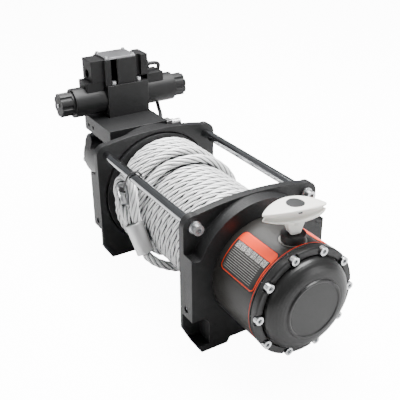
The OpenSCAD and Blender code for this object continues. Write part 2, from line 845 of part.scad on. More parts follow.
// Planetary gears
module along_x(from, to) {
    translate([from, 0, axis_h]) rotate([90, 0, 90]) linear_extrude(to - from) children();
}
module ring_gear() {
    color("#7d8084") difference() {
        along_x(gear_x, gear_x + gear_w) difference() {
            circle(r = ring_gear_r);
            rotate(90) gear_shape(ring_teeth, gear_m * (ring_teeth / 2 + root_share),
                gear_m * (ring_teeth / 2 - addendum_share), space_thick);
        }
        for (a = notch_turns) translate([clutch_at, 0, axis_h]) rotate([a, 0, 0])
            translate([0, 0, ring_gear_r - notch_depth])
                cylinder(r = plunger_r + plunger_play, h = notch_depth + over);
    }
}
module planet_gear(i) {
    turn = 90 + 360 * i / planets;
    color("#8e9195") translate([0, planet_at * cos(turn), planet_at * sin(turn)])
        along_x(gear_x, gear_x + gear_w) difference() {
            rotate(turn) gear_shape(planet_teeth, gear_m * (planet_teeth / 2 + addendum_share),
                gear_m * (planet_teeth / 2 - root_share), tooth_thick);
            circle(r = planet_pin_r + fit);
        }
}
module planet_gear_1() { planet_gear(0); }
module planet_gear_2() { planet_gear(1); }
module planet_gear_3() { planet_gear(2); }
module sun_gear() {
    color("#8e9195") along_x(gear_x, gear_x + gear_w) difference() {
        gear_shape(sun_teeth, gear_m * (sun_teeth / 2 + addendum_share),
            gear_m * (sun_teeth / 2 - root_share), tooth_thick);
        circle(r = sun_bore_r);
    }
}

// Carrier: plate, three pins and a hub pressed into the drum
module planet_carrier() {
    color("#6f7276") difference() {
        union() {
            bar_x(drum_bore_r - fit, carrier_hub_from, carrier_x + over);
            bar_x(carrier_r, carrier_x, carrier_x + carrier_t);
            for (i = [0:planets - 1]) let (a = 90 + 360 * i / planets)
                translate([0, planet_at * cos(a), planet_at * sin(a)])
                    bar_x(planet_pin_r, carrier_x, gear_x + gear_w + carrier_gap);
        }
        bar_x(shaft_bush_r, carrier_hub_from - over, carrier_x + carrier_t + over);
    }
}

// Drive shaft through the drum, from the motor to the sun gear
module drive_shaft() {
    color("#a4a7ab") {
        bar_x(shaft_r, rotor_end_x + shaft_end_gap, shaft_neck_x);
        bar_x(sun_bore_r - fit, shaft_neck_x - over, gear_x + gear_w);
    }
}
module shaft_bush() {
    color("#b08d57") difference() {
        bar_x(shaft_bush_r - fit, motor_x - shaft_bush_in - shaft_bush_len,
            motor_x - shaft_bush_in);
        bar_x(shaft_r + fit, motor_x - 2 * shaft_bush_in - shaft_bush_len, motor_x);
    }
}

// Clutch on top of the housing
module at_clutch(z) {
    translate([clutch_at, 0, z]) children();
}
module clutch_ring() {
    color("#9a9c9e") at_clutch(clutch_ring_z) difference() {
        cylinder(r = clutch_ring_r, h = clutch_ring_h);
        translate([0, 0, -over]) cylinder(r = clutch_bore_r, h = clutch_ring_h + 2 * over);
    }
}
module clutch_boss() {
    color("#2b2b2b") at_clutch(clutch_boss_z) difference() {
        cylinder(r = clutch_boss_r, h = clutch_boss_h);
        translate([0, 0, -over]) cylinder(r = clutch_bore_r, h = clutch_boss_h - boss_roof + over);
        translate([0, 0, -over]) cylinder(r = plunger_neck_r + fit, h = clutch_boss_h + 2 * over);
    }
}
module clutch_spring() {
    low = plunger_top_z + spring_wire_r + seat;
    high = clutch_boss_top - boss_roof - spring_wire_r - seat;
    steps = spring_turns * curl_rings;
    path = [for (i = [0:steps]) [spring_r * cos(360 * i / curl_rings), spring_r * sin(360 * i / curl_rings),
        low + (high - low) * i / steps]];
    color("#b9bcc0") at_clutch(0) swept_tube(path, spring_wire_r, tube_sides, [0, 0, 1]);
}
module clutch_plunger() {
    color("#a4a7ab") at_clutch(0) {
        translate([0, 0, plunger_foot]) cylinder(r = plunger_r, h = plunger_top_z - plunger_foot);
        translate([0, 0, plunger_top_z - over])
            cylinder(r = plunger_neck_r, h = neck_top - plunger_top_z + over);
    }
}
// Grip: lens shaped from above, with a slanted underside
module lens(len, wide) {
    r = (len * len / 4 + wide * wide / 4) / wide;
    intersection_for(s = [-1, 1]) translate([0, s * (r - wide / 2)]) circle(r = r, $fn = 180);
}
module clutch_handle() {
    color("#e9e6dc") at_clutch(0) rotate([0, 0, handle_turn]) difference() {
        union() {
            translate([-stem_w / 2, -stem_w / 2, stem_z]) cube([stem_w, stem_w, stem_h + over]);
            intersection() {
                translate([0, 0, grip_z]) linear_extrude(handle_h) lens(handle_len, handle_w);
                translate([0, handle_w, grip_z]) rotate([90, 0, 0]) linear_extrude(2 * handle_w)
                    polygon(concat([for (q = grip_shares) [q[0] * handle_len, q[1] * handle_h]],
                        [for (i = [len(grip_shares) - 1:-1:0])
                            [-grip_shares[i][0] * handle_len, grip_shares[i][1] * handle_h]]));
            }
        }
        translate([0, 0, stem_z - over]) cylinder(r = plunger_neck_r + fit, h = neck_top - stem_z + over);
    }
}

// Motor, bolted to the motor end frame through an adapter plate
module motor_adapter() {
    color("#3a3b3d") difference() {
        union() {
            bar_x(housing_r, -outer_x, -seat_x);
            bar_x(adapter_lip_r, motor_x, -outer_x + over);
        }
        bar_x(adapter_bore_r, motor_x - over, -seat_x + over);
        bar_x(bush_r, -journal_x - body_gap, -seat_x + over);
    }
}
module motor_housing() {
    color("#46474a") difference() {
        union() {
            bar_x(motor_r, motor_mid_x, motor_x);
            at_ports() translate([0, 0, -port_boss_len]) cylinder(r = port_boss_r, h = port_boss_len);
        }
        bar_x(motor_bore_r, motor_mid_x - over, motor_x + over);
        bar_x(shaft_bush_r, motor_x - shaft_bush_in - shaft_bush_len, motor_x + over);
        at_ports() translate([0, 0, -port_depth]) cylinder(r = port_r, h = port_depth + over);
        at_motor_bolts() translate([motor_mid_x - over, 0, 0]) rotate([0, 90, 0])
            cylinder(d = motor_bolt_d, h = motor_bolt_reach + over);
    }
}
module at_ports() {
    for (s = [0, 1]) mirror([0, s, 0]) translate([port_x, 0, axis_h + port_rise])
        rotate([90 - port_turn, 0, 0]) translate([0, 0, port_reach]) children();
}
module at_motor_bolts() {
    for (i = [0:motor_bolts_n - 1]) translate([0, 0, axis_h])
        rotate([90 + 360 * i / motor_bolts_n, 0, 0]) translate([0, motor_bolt_r, 0]) children();
}
// Outer profile of the inner rotor: rolls inside the seven round teeth of the outer one
function rotor_point(a) = let (b = (1 - rotor_pins) * a, r = rotor_pin_r + rotor_play,
    c = a + atan2(sin(b), rotor_pin_at / (rotor_offset * rotor_pins) - cos(b)))
    [rotor_pin_at * cos(a) - r * cos(c) - rotor_offset * cos(rotor_pins * a),
        -rotor_pin_at * sin(a) + r * sin(c) + rotor_offset * sin(rotor_pins * a)];
module inner_rotor() {
    color("#9a9da1") along_x(rotor_end_x + rotor_side, motor_mid_x - rotor_side) difference() {
        polygon([for (i = [0:rotor_points - 1]) let (u = 360 * i / rotor_points, lobes = rotor_pins - 1)
            rotor_point(u - rotor_bunch_share * sin(lobes * u) * 180 / PI / lobes)]);
        circle(r = shaft_r + fit);
    }
}
module outer_rotor() {
    color("#7d8084") along_x(rotor_end_x + rotor_side, motor_mid_x - rotor_side)
        translate([-rotor_offset, 0]) {
            difference() {
                circle(r = rotor_outer_r);
                circle(r = rotor_inner_r);
            }
            for (i = [0:rotor_pins - 1]) rotate(360 * i / rotor_pins) translate([rotor_pin_at, 0])
                circle(r = rotor_pin_r, $fn = 48);
        }
}
module rotor_ring() {
    color("#4b4c4f") difference() {
        bar_x(motor_r, rotor_end_x, motor_mid_x);
        translate([0, -rotor_offset, 0]) bar_x(rotor_outer_r + fit, rotor_end_x - over, motor_mid_x + over);
        at_motor_bolts() translate([rotor_end_x - over, 0, 0]) rotate([0, 90, 0])
            cylinder(d = motor_bolt_d, h = rotor_len + 2 * over);
    }
}
module motor_end_cover() {
    color("#46474a") difference() {
        bar_x(motor_r, motor_end_x, rotor_end_x);
        at_motor_bolts() translate([motor_end_x - over, 0, 0]) rotate([0, 90, 0])
            cylinder(d = motor_bolt_d, h = motor_end_len + 2 * over);
    }
}
module motor_bolts() {
    color("#a9acb0") at_motor_bolts() translate([motor_end_x, 0, 0]) mirror([1, 0, 0])
        socket_screw(motor_bolt_d / 2 - seat,
            motor_end_len + rotor_len + motor_bolt_reach - motor_bolt_spare, motor_head_r, motor_head_h);
}
module port_fittings() {
    color("#b0b3b6") at_ports() difference() {
        union() {
            translate([0, 0, port_spare - port_depth])
                cylinder(r = port_r - seat, h = port_depth - port_spare + port_len);
            cylinder(r = port_hex_r, h = port_hex_h, $fn = 6);
        }
        translate([0, 0, -port_depth]) cylinder(r = port_r / 2, h = port_depth + port_len + over);
    }
}
module port_caps() {
    color("#161616") at_ports() translate([0, 0, port_hex_h]) difference() {
        cylinder(r = port_cap_r, h = port_cap_len);
        translate([0, 0, -over]) cylinder(r = port_r, h = port_len - port_hex_h + 2 * over);
    }
}

// Bracket: folded sheet with a side wing and a front wing bolted to the frame's ring
module valve_bracket() {
    color("#55565a") difference() {
        union() {
            translate([bracket_back, bracket_left, bracket_z - sheet_t])
                cube([-outer_x - bracket_back, bracket_w, sheet_t]);
            translate([-outer_x - sheet_t, bracket_left, bracket_z - bracket_drop])
                cube([sheet_t, bracket_w, bracket_drop]);
            translate([bracket_back, bracket_left, bracket_z - bracket_side])
                cube([-outer_x - bracket_back, sheet_t, bracket_side]);
        }
        at_bracket_screws() translate([-sheet_t - over, 0, 0]) rotate([0, 90, 0])
            cylinder(r = bracket_hole_r + seat, h = sheet_t + 2 * over);
        for (k = [0, 1]) translate([bracket_back + wing_hole_at + wing_hole_pitch * k, bracket_left - over,
            bracket_z - wing_hole_at]) rotate([-90, 0, 0])
                cylinder(r = bracket_hole_r, h = sheet_t + 2 * over);
        at_valve_screws() translate([0, 0, bracket_z - sheet_t - over])
            cylinder(r = valve_screw_r + seat, h = sheet_t + 2 * over);
    }
}
module at_bracket_screws() {
    for (y = bracket_screw_ys) translate([-outer_x, y, bracket_z - bracket_screw_drop]) children();
}
module bracket_screws() {
    color("#a9acb0") at_bracket_screws() mirror([1, 0, 0]) translate([sheet_t, 0, 0])
        socket_screw(bracket_hole_r - fit, sheet_t + bracket_screw_depth, bracket_head_r, bracket_head_h);
}
module at_valve_screws() {
    for (i = [-1, 1], j = [-1, 1])
        translate([valve_x + i * valve_screw_pitch_x / 2, valve_y + j * valve_screw_pitch_y / 2, 0])
            children();
}
module manifold_block() {
    color("#8c8f93") difference() {
        union() {
            translate([valve_x - manifold_d / 2, valve_y - manifold_w / 2, manifold_z])
                cube([manifold_d, manifold_w, manifold_h]);
            translate([valve_x - manifold_d / 2, -manifold_foot_w / 2, manifold_z - manifold_foot_h])
                cube([manifold_d, manifold_foot_w, manifold_foot_h + over]);
        }
        bar_x(motor_r, valve_x - manifold_d, valve_x + manifold_d);
        for (s = [-1, 1]) translate([valve_x - manifold_d / 2 - over, valve_y + s * manifold_port_pitch / 2,
            manifold_top - manifold_h / 2]) rotate([0, 90, 0])
            cylinder(r = manifold_port_r, h = manifold_port_depth + over);
        at_valve_screws() translate([0, 0, manifold_top - valve_screw_depth])
            cylinder(r = valve_screw_r, h = valve_screw_depth + over);
    }
}
module valve_screws() {
    color("#c4c6c8") at_valve_screws() translate([0, 0, valve_top]) rotate([0, -90, 0])
        socket_screw(valve_screw_r - fit, valve_h + sheet_t + valve_screw_depth - valve_screw_spare,
            valve_screw_head_r, valve_screw_head_h);
}

// Directional valve: body, spool, two coils with their nuts
module valve_body() {
    color("#3b3b3b") difference() {
        union() {
            translate([valve_x - valve_d / 2, valve_y - valve_end, bracket_z])
                cube([valve_d, valve_w, valve_h]);
            translate([valve_x, valve_y - coil_end, valve_z]) rotate([-90, 0, 0])
                cylinder(r = tube_r, h = 2 * coil_end);
        }
        translate([valve_x, valve_y - coil_end + tube_end, valve_z]) rotate([-90, 0, 0])
            cylinder(r = spool_r + fit, h = 2 * (coil_end - tube_end));
        for (s = [-1, 1]) translate([valve_x, valve_y + s * (coil_end + over), valve_z])
            rotate([s * 90, 0, 0]) cylinder(r = pin_r + fit, h = tube_end + 2 * over);
        at_valve_screws() translate([0, 0, bracket_z - over])
            cylinder(r = valve_screw_r + seat, h = valve_h + 2 * over);
    }
}
module valve_spool() {
    color("#a4a7ab") translate([valve_x, valve_y, valve_z]) rotate([-90, 0, 0]) difference() {
        union() {
            cylinder(r = spool_r, h = spool_len, center = true);
            cylinder(r = rod_r, h = rod_len, center = true);
        }
        for (s = [-1, 1]) rotate_extrude()
            translate([spool_r - spool_groove, s * valve_w / 4 - spool_groove_w / 2])
                square([spool_groove + over, spool_groove_w]);
    }
}
module valve_coils() {
    color("#3c3d3d") for (s = [-1, 1])
        translate([valve_x, valve_y + s * (valve_end + coil_len / 2), valve_z]) rotate([90, 0, 0])
            difference() {
                cylinder(r = coil_r, h = coil_len - 2 * seat, center = true);
                cylinder(r = tube_r + seat, h = coil_len + over, center = true);
            }
}
module coil_nuts() {
    color("#2b2b2b") for (s = [-1, 1]) translate([valve_x, valve_y + s * coil_end, valve_z])
        rotate([s * -90, 0, 0]) difference() {
            cylinder(r = nut_r, h = nut_len);
            for (i = [0:nut_flutes - 1]) rotate(360 * i / nut_flutes)
                translate([nut_r + flute_at, 0, flute_from]) cylinder(r = flute_r, h = nut_len);
            translate([0, 0, -over]) cylinder(r = pin_r + seat, h = nut_len + 2 * over);
        }
}
module override_pin(s) {
    color("#c4c6c8") translate([valve_x, valve_y + s * (nut_end + pin_out), valve_z]) rotate([s * 90, 0, 0])
        cylinder(r = pin_r, h = nut_len + pin_out + pin_in);
}
module override_pin_left() { override_pin(-1); }
module override_pin_right() { override_pin(1); }
module coil_connectors() {
    color("#2f2f2f") for (s = [-1, 1]) translate([valve_x, valve_y + s * valve_end, 0]) difference() {
        translate([-connector_d / 2, s * (connector_w / 2 + connector_gap) - connector_w / 2,
            valve_z + coil_r * connector_cut_share])
            cube([connector_d, connector_w, connector_top - valve_z - coil_r * connector_cut_share]);
        translate([0, 0, valve_z]) rotate([90, 0, 0])
            cylinder(r = coil_r + seat, h = 2 * coil_len, center = true);
    }
}

// Junction box on the valve
module junction_box() {
    color("#262626") difference() {
        union() {
            translate([valve_x - box_d / 2, box_y - box_w / 2, box_z]) cube([box_d, box_w, box_h]);
            for (s = [-1, 1]) translate([valve_x - end_block_d / 2,
                box_y + s * (box_w + end_block_w - over) / 2 - (end_block_w + over) / 2,
                box_top - end_block_h]) cube([end_block_d, end_block_w + over, end_block_h]);
        }
        translate([valve_x - box_d / 2 + box_wall, box_y - box_room / 2, box_z + box_wall])
            cube([box_d - 2 * box_wall, box_room, box_h]);
        at_valve_screws() translate([0, 0, box_z - over]) cylinder(r = box_groove_r, h = box_h + 2 * over);
        for (i = [-1, 1], j = [-1, 1])
            translate([valve_x + i * (valve_screw_pitch_x + box_d) / 2 - box_d / 2,
                valve_y + j * valve_screw_pitch_y / 2 - box_groove_r, box_z - over])
                cube([box_d, 2 * box_groove_r, box_h + 2 * over]);
        at_box_screws() translate([0, 0, box_top + lid_t - box_shank_len - over])
            cylinder(r = box_shank_r + seat, h = box_shank_len + over);
        translate([valve_x, box_y - box_w / 2 - end_block_w - over, lead_z]) rotate([-90, 0, 0])
            cylinder(r = conduit_r, h = conduit_depth + over);
        translate([valve_x, box_y + box_w / 2 + end_block_w + over, lead_z]) rotate([90, 0, 0])
            cylinder(r = conduit_r, h = conduit_depth + over);
    }
}
module box_lid() {
    color("#707376") difference() {
        translate([valve_x - box_d / 2 + lid_in, box_y - box_w / 2 + lid_in, box_top])
            cube([box_d - 2 * lid_in, box_w - 2 * lid_in, lid_t]);
        at_box_screws() translate([0, 0, box_top - over])
            cylinder(r = box_shank_r + seat, h = lid_t + 2 * over);
    }
}
module at_box_screws() {
    for (i = [-1, 1], j = [-1, 1])
        translate([valve_x + i * (box_d / 2 - box_screw_in), box_y + j * (box_w / 2 - box_screw_in), 0])
            children();
}
module box_screws() {
    color("#c4c6c8") at_box_screws() translate([0, 0, box_top + lid_t]) rotate([0, -90, 0])
        socket_screw(box_shank_r, box_shank_len, box_screw_r, box_screw_h);
}
module lead_gland() {
    color("#1c1c1d") translate([valve_x, gland_end, lead_z]) rotate([90, 0, 0]) difference() {
        cylinder(r = gland_r - seat, h = gland_len + conduit_depth - gland_spare);
        translate([0, 0, -over]) cylinder(r = lead_d / 2 + seat, h = gland_hole + over);
    }
}
module valve_lead() {
    color("#19191a") swept_tube(smooth(lead_route, lead_steps), lead_d / 2, lead_sides, [1, 1, 1]);
}
module lead_socket() {
    color("#8c8f93") difference() {
        union() {
            translate([socket_x - socket_w / 2, socket_from, socket_z - socket_h / 2])
                cube([socket_w, socket_to - socket_from, socket_h]);
            translate([socket_x, socket_to - over, socket_z]) rotate([-90, 0, 0]) {
                cylinder(r = socket_collar_r, h = socket_collar_w + over);
                cylinder(r = socket_dome_r, h = socket_collar_w + socket_dome_w + over);
            }
        }
        translate([socket_x - socket_w / 2 - over, lead_end_y, lead_end_z]) rotate([0, 90, 0])
            cylinder(r = lead_d / 2 + seat, h = socket_hole + over);
    }
}

motor_end_frame();
gearbox_end_frame();
front_tie_bar();
rear_tie_bar();
tie_bar_screws();
tie_bar_washers();
side_hole_plugs();
drum();
drum_bushes();
rope_core();
rope_winding();
rope_anchor_screw();
rope_tail();
ferrule();
rope_eye();
thimble();
cable_tie();
gearbox_housing();
end_cap();
cap_gasket();
cap_screws();
ring_gear();
planet_carrier();
planet_gear_1();
planet_gear_2();
planet_gear_3();
sun_gear();
drive_shaft();
shaft_bush();
clutch_ring();
clutch_boss();
clutch_spring();
clutch_plunger();
clutch_handle();
motor_adapter();
motor_housing();
inner_rotor();
outer_rotor();
rotor_ring();
motor_end_cover();
motor_bolts();
port_fittings();
port_caps();
valve_bracket();
bracket_screws();
manifold_block();
valve_screws();
valve_body();
valve_spool();
valve_coils();
coil_nuts();
override_pin_left();
override_pin_right();
coil_connectors();
junction_box();
box_lid();
box_screws();
lead_gland();
valve_lead();
lead_socket();
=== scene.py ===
import math

import bpy
from mathutils import Matrix, Vector


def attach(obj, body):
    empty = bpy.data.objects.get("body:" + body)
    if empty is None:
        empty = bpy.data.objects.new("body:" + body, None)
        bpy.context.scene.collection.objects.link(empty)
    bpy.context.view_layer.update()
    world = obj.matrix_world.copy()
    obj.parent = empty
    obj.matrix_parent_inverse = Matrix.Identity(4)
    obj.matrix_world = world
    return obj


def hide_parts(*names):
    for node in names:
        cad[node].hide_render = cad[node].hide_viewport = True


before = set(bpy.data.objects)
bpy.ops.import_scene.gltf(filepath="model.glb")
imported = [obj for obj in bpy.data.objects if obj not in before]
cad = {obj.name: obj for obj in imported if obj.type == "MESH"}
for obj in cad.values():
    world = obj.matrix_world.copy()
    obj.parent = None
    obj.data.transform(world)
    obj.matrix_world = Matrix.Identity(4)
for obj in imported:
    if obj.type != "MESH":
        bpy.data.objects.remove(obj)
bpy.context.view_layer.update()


# Camera: off the gearbox end and a little above the winch, as the photograph was taken.
# Its place and turn come from the corners of the feet, the tie bars and the valve.
lens = bpy.data.cameras.new("camera")
lens.lens = 60.8
lens.sensor_width = 36
camera = bpy.data.objects.new("camera", lens)
camera.location = (0.688, -0.4167, 0.5396)
camera_back = Vector((0.7587, -0.4617, 0.4595))
camera_roll = math.radians(-0.19)
camera.rotation_euler = (
    camera_back.to_track_quat("Z", "Y").to_matrix() @ Matrix.Rotation(camera_roll, 3, "Z")
).to_euler()
bpy.context.scene.collection.objects.link(camera)
bpy.context.scene.camera = camera


# Studio: a pale floor and an even sky, both white where the camera sees them. A weak soft box
# stands on the left, a strong one hangs overhead, and one stands behind the gearbox end.
class Wire:
    """One socket of a material's nodes. Arithmetic on it adds Math nodes, and node() any other node."""

    def __init__(self, tree, socket):
        self.tree = tree
        self.socket = socket

    def node(self, kind, sockets=None, out=0, stops=(), **settings):
        """Adds a node: its settings first, then a ramp's stops, then each socket's value or link."""
        made = self.tree.nodes.new("ShaderNode" + kind)
        for setting, value in settings.items():
            setattr(made, setting, value)
        for place, (at, shade) in enumerate(stops):
            ramp = made.color_ramp.elements
            stop = ramp[place] if place < 2 else ramp.new(at)
            stop.position = at
            stop.color = (*shade, 1)
        for socket, value in (sockets or {}).items():
            if isinstance(value, Wire):
                self.tree.links.new(value.socket, made.inputs[socket])
            else:
                made.inputs[socket].default_value = value
        return Wire(self.tree, made.outputs[out])

    def math(self, operation, *others):
        return self.node("Math", dict(enumerate((self, *others))), operation=operation)

    def __add__(self, other):
        return self.math("ADD", other)

    def __sub__(self, other):
        return self.math("SUBTRACT", other)

    def __rsub__(self, other):
        return self.node("Math", {0: other, 1: self}, operation="SUBTRACT")

    def __mul__(self, other):
        return self.math("MULTIPLY", other)

    def __gt__(self, other):
        return self.math("GREATER_THAN", other)

    def __lt__(self, other):
        return self.math("LESS_THAN", other)

    def __abs__(self):
        return self.math("ABSOLUTE")

    __radd__ = __add__
    __rmul__ = __mul__

    def held(self):
        """The value kept between 0 and 1."""
        return self.node("Clamp", {0: self})

    def tint(self, dark, light):
        """A colour between two: dark where the value is 0, light where it is 1."""
        return self.node("Mix", {0: self, 6: colour(dark), 7: colour(light)}, out=2, data_type="RGBA")

    def into(self, surface, socket):
        self.tree.links.new(self.socket, surface.inputs[socket])


def colour(shade):
    """A colour for a socket: a Wire as it is, or three numbers with a full fourth."""
    return shade if isinstance(shade, Wire) else (*shade, 1)


def bare(name, **fixed):
    """A new material: itself, its surface, and the piece's own coordinates as a Wire."""
    made = bpy.data.materials.new(name)
    made.use_nodes = True
    surface = made.node_tree.nodes["Principled BSDF"]
    for socket, value in fixed.items():
        surface.inputs[socket.replace("_", " ")].default_value = value
    here = made.node_tree.nodes.new("ShaderNodeTexCoord").outputs["Object"]
    return made, surface, Wire(made.node_tree, here)


def area_light(name, place, target, size, power):
    light = bpy.data.lights.new(name, "AREA")
    light.shape = "RECTANGLE"
    light.size, light.size_y = size
    light.energy = power
    lamp = bpy.data.objects.new(name, light)
    lamp.location = place
    lamp.rotation_euler = (Vector(place) - Vector(target)).to_track_quat("Z", "Y").to_euler()
    bpy.context.scene.collection.objects.link(lamp)


for soft_box in (
    # name, place, target, size, power
    ("soft_box_left", (-0.4, -1.6, 0.9), (0, 0, 0.1), (1.8, 0.5), 7),
    ("soft_box_top", (-0.1, 0.25, 1.5), (0, 0, 0.1), (1.5, 0.8), 120),
    ("soft_box_end", (1.5, 0.9, 0.45), (0.2, 0, 0.1), (0.6, 1.0), 12),
):
    area_light(*soft_box)
sky_strength = 0.2
seen_glow = 12
sky = bpy.data.worlds.new("studio")
sky.use_nodes = True
sky.node_tree.nodes["Background"].inputs["Color"].default_value = (0.94, 0.96, 1, 1)
sky_seen = Wire(sky.node_tree, None).node("LightPath")
(sky_seen * seen_glow + sky_strength).into(sky.node_tree.nodes["Background"], "Strength")
bpy.context.scene.world = sky

bpy.ops.object.select_all(action="DESELECT")
floor_size = 12
floor_under = 0.0004
bpy.ops.mesh.primitive_plane_add(size=floor_size, location=(0, 0, -floor_under))
floor = bpy.context.object
floor.name = "studio_floor"
pale, pale_surface, floor_place = bare("pale_floor", Roughness=0.9)
floor_cloud = floor_place.node("TexNoise", {"Vector": floor_place, "Scale": 3.0})
floor_cloud.tint((0.6, 0.6, 0.6), (0.64, 0.64, 0.64)).into(pale_surface, "Base Color")
floor_place.node("LightPath").tint((0.004, 0.004, 0.004), (1, 1, 1)).into(pale_surface, "Emission Color")
pale_surface.inputs["Emission Strength"].default_value = seen_glow
floor.data.materials.append(pale)


# Valve lead: a round black rubber-sheathed lead, from the gland on the junction box
# round the rear coil to the socket on the bracket. The photograph shows all of it: 183 mm.
mm = 0.001


def smoothed(route, steps):
    """A smooth line through the points of a route, in metres."""
    points = [Vector(p) * mm for p in route]
    line = []
    for i in range(len(points) - 1):
        a, b, c = points[max(i - 1, 0)], points[i], points[i + 1]
        d = points[min(i + 2, len(points) - 1)]
        for step in range(steps):
            t = step / steps
            line.append(
                b + (c - a) * t / 2 + (2 * a - 5 * b + 4 * c - d) * t * t / 2
                + (3 * b - a - 3 * c + d) * t * t * t / 2
            )
    return [*line, points[-1]]


def length_of(line):
    return sum((b - a).length for a, b in zip(line, line[1:]))


def fitted(piece, body, slot, finish, *nodes):
    """Gives a finished piece its finish and the body it moves with, and hides the nodes that it stands for.
    """
    piece.data.materials.clear()
    piece.data.materials.append(finish)
    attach(piece, body)
    if nodes:
        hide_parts(*nodes)


def round_edges(here, radius):
    """The surface's normal with its sharp edges rounded off, as paint and casting leave them."""
    return here.node("Bevel", {"Radius": radius}, samples=4)


def edge_mask(here, radius, gain):
    """1 on the sharp edges and 0 on the flats."""
    flat = here.node("NewGeometry", out="Normal")
    same = here.node(
        "VectorMath", {0: round_edges(here, radius), 1: flat}, out="Value", operation="DOT_PRODUCT"
    )
    return ((1 - same) * gain).held()


lead_route = [
    [-216, 38, 251.5], [-216, 45, 251.5], [-216.3, 52, 251], [-219, 59, 248.5], [-225, 64, 243],
    [-233, 66.5, 235], [-240, 68, 225], [-243.5, 68.5, 214], [-244, 68.5, 203], [-242, 67.5, 193],
    [-236, 65, 185], [-226, 61, 180], [-213, 56, 177.5], [-199, 50.5, 176.5], [-185, 44, 176],
    [-175, 39, 176], [-167, 37, 176], [-159, 37, 176],
]
lead_d = 0.006
lead_line = smoothed(lead_route, 6)
lead_curve = bpy.data.curves.new("lead_run", "CURVE")
lead_curve.dimensions = "3D"
lead_curve.bevel_depth = lead_d / 2
lead_curve.bevel_resolution = 5
lead_curve.use_fill_caps = True
lead_spline = lead_curve.splines.new("POLY")
lead_spline.points.add(len(lead_line) - 1)
for point, place in zip(lead_spline.points, lead_line):
    point.co = (*place, 1)
lead = bpy.data.objects.new("lead_run", lead_curve)
bpy.context.scene.collection.objects.link(lead)
rubber, rubber_surface, here = bare("black_rubber", Specular_IOR_Level=0.35)
grain = here.node("TexNoise", {"Vector": here, "Scale": 900.0, "Detail": 3.0})
smear = here.node("TexNoise", {"Vector": here, "Scale": 60.0, "Detail": 2.0})
smear.tint((0.012, 0.012, 0.013), (0.03, 0.03, 0.031)).into(rubber_surface, "Base Color")
(0.45 + smear * 0.2).into(rubber_surface, "Roughness")
here.node("Bump", {"Strength": 0.25, "Distance": 0.0002, "Height": grain}).into(rubber_surface, "Normal")
fitted(lead, "base", "black_rubber", rubber, "valve_lead")
length_of(lead_line)


# End frames: two like grey-iron castings with a satin charcoal paint, slightly rough from the mould.
# The paint is thin on the edges, and the edges are painted lighter, partly for the thin paint and partly as
# a painted highlight where the light catches them.
def dress(finish, *names):
    """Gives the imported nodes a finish; their meshes stay as they are."""
    for name in names:
        for place in cad[name].material_slots:
            place.material = finish


def painted(name, shade, gloss, grain_size, grain_depth, edge, edge_wear_and_highlight=0.5):
    """Satin paint on metal: fine grain, slight clouds in shade and gloss, and lighter edges, partly worn
    paint and partly a painted highlight.
    """
    made, surface, here = bare(name, Specular_IOR_Level=0.32)
    grain = here.node("TexNoise", {"Vector": here, "Scale": grain_size, "Detail": 6.0, "Roughness": 0.65})
    cloud = here.node("TexNoise", {"Vector": here, "Scale": 14.0, "Detail": 4.0})
    edge_patches = here.node("TexNoise", {"Vector": here, "Scale": 90.0, "Detail": 5.0})
    edges = edge_mask(here, edge, 1.6) * (0.35 + edge_patches)
    clouding = 0.18
    low, high = (tuple(share * c for c in shade) for share in (1 - clouding, 1 + clouding))
    # Lighter edge colour: partly worn, thin paint and partly a painted highlight.
    bright = tuple(min(1, edge_wear_and_highlight * (0.12 + 2.2 * c)) for c in shade)
    body = cloud.tint(low, high)
    (edges * edge_wear_and_highlight).held().tint(body, bright).into(surface, "Base Color")
    (gloss + cloud * 0.12 + grain * 0.08).into(surface, "Roughness")
    soft = round_edges(here, edge)
    here.node("Bump", {"Strength": 0.5, "Distance": grain_depth, "Height": grain, "Normal": soft}).into(
        surface, "Normal"
    )
    return made


frame_paint = painted("frame_paint", (0.009, 0.0092, 0.0095), 0.34, 420.0, 0.0006, 0.0012)
dress(frame_paint, "motor_end_frame", "gearbox_end_frame")


# Side hole plugs: turned steel plugs, zinc plated, pressed into the frames' sides.
# The same plating is on the winch's screws, washers, pins and fittings.
def plated(name, shade, gloss, lines=0.0, edge=0.0004):
    """Bare or plated metal: faint clouds, fine tooling lines and small handling marks."""
    made, surface, here = bare(name, Metallic=1.0)
    cloud = here.node("TexNoise", {"Vector": here, "Scale": 45.0, "Detail": 5.0})
    fine = here.node("TexNoise", {"Vector": here, "Scale": 1600.0, "Detail": 2.0})
    low = tuple(0.78 * c for c in shade)
    cloud.tint(low, shade).into(surface, "Base Color")
    (gloss + cloud * 0.14 + fine * 0.05).into(surface, "Roughness")
    height = fine * (0.3 + lines)
    soft = round_edges(here, edge)
    here.node("Bump", {"Strength": 0.35, "Distance": 0.00012, "Height": height, "Normal": soft}).into(
        surface, "Normal"
    )
    return made


zinc = plated("zinc_plate", (0.72, 0.73, 0.74), 0.22)
dress(zinc, "side_hole_plugs")


# Tie bars: ground and hard chromed round bars between the frames, each held by a socket screw
# and a spring washer at both ends.
chrome, chrome_surface, here = bare("hard_chrome", Metallic=1.0)
along = here.node("Mapping", {"Vector": here, "Scale": (40.0, 900.0, 900.0)})
grinding = here.node("TexNoise", {"Vector": along, "Scale": 1.0, "Detail": 3.0})
grinding.tint((0.4, 0.41, 0.42), (0.55, 0.56, 0.57)).into(chrome_surface, "Base Color")
(0.08 + grinding * 0.12).into(chrome_surface, "Roughness")
here.node("Bump", {"Strength": 0.12, "Distance": 0.00006, "Height": grinding}).into(chrome_surface, "Normal")
dress(chrome, "front_tie_bar", "rear_tie_bar")
dress(zinc, "tie_bar_screws", "tie_bar_washers")


# Drum: a turned and blackened steel spool with a flange at each end.
# It turns in two bronze bushes, which ride in the frames' webs.
drum_steel = painted("drum_black", (0.012, 0.0122, 0.0125), 0.33, 260.0, 0.0002, 0.0008)
bronze = plated("bush_bronze", (0.75, 0.5, 0.24), 0.3, lines=0.2)
dress(drum_steel, "drum")
dress(bronze, "drum_bushes")


